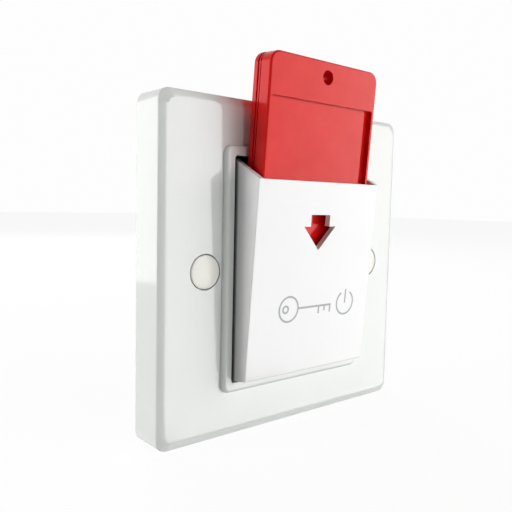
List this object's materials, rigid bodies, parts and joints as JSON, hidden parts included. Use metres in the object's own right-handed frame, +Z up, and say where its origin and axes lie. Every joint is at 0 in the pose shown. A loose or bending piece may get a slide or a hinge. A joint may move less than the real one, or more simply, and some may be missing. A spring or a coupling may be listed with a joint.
{
  "type": "hotel key card switch",
  "caption": "Wall switch on a single-gang plate, closed by a key tag standing in its leaned pocket; lifting the tag opens the supply.",
  "frame": {"origin": "centre of the plate on the wall plane, midway between the two fixing screws", "axes": "+Z up the wall, +Y into the wall, +X to the right as seen from the room"},
  "size_m": [0.086, 0.04, 0.0968],
  "materials": {
    "white_moulding": "gloss",
    "cap_moulding": "satin",
    "tag_moulding": "gloss",
    "base_moulding": "satin",
    "cover_moulding": "satin",
    "lever_moulding": "satin",
    "carrier_moulding": "satin",
    "pin_steel": "ground",
    "spring_steel": "drawn",
    "contact_copper": "rolled",
    "contact_silver": "bright",
    "terminal_brass": "machined",
    "screw_steel": "zinc plated"
  },
  "bodies": {
    "switch": {"face_plate": "white_moulding", "module_frame": "white_moulding", "key_pocket": "white_moulding", "screw_caps": "cap_moulding", "fixing_screws": "screw_steel", "housing_screws": "screw_steel", "works_front": "base_moulding", "switch_base": "base_moulding", "rear_cover": "cover_moulding", "cover_screws": "screw_steel", "lever_pin": "pin_steel", "terminal_block_1": "terminal_brass", "terminal_block_2": "terminal_brass", "terminal_block_3": "terminal_brass", "terminal_block_4": "terminal_brass", "terminal_screws": "terminal_brass", "fixed_contact_1": "contact_copper", "fixed_contact_2": "contact_copper", "fixed_contact_3": "contact_copper", "fixed_contact_4": "contact_copper", "fixed_tips": "contact_silver", "return_spring": "spring_steel"},
    "tag": {"tag_front": "tag_moulding", "tag_back": "tag_moulding"},
    "lever": {"trip_lever": "lever_moulding"},
    "carrier": {"contact_carrier": "carrier_moulding", "bridge_left": "contact_copper", "bridge_right": "contact_copper", "bridge_springs": "spring_steel", "moving_tips": "contact_silver"}
  },
  "joints": [
    {"name": "tag_slide", "type": "slide", "parent": "switch", "child": "tag", "axis": [0, -0.0785, 0.9969], "range_m": [0, 0.052]},
    {"name": "lever_rock", "type": "hinge", "parent": "switch", "child": "lever", "pos_m": [0, -0.0024, -0.0225], "axis": [-1, 0, 0], "range_deg": [0, 18]},
    {"name": "carrier_slide", "type": "slide", "parent": "switch", "child": "carrier", "axis": [0, 0, -1], "range_m": [0, 0.00272], "stiffness_N_per_m": 150, "springref_m": 0.006, "deforming": ["return_spring"]}
  ],
  "couplings": [
    {"joint": "lever_rock", "follows": "tag_slide", "rad_per_m": 6.04},
    {"joint": "carrier_slide", "follows": "tag_slide", "ratio": 0.0523}
  ]
}
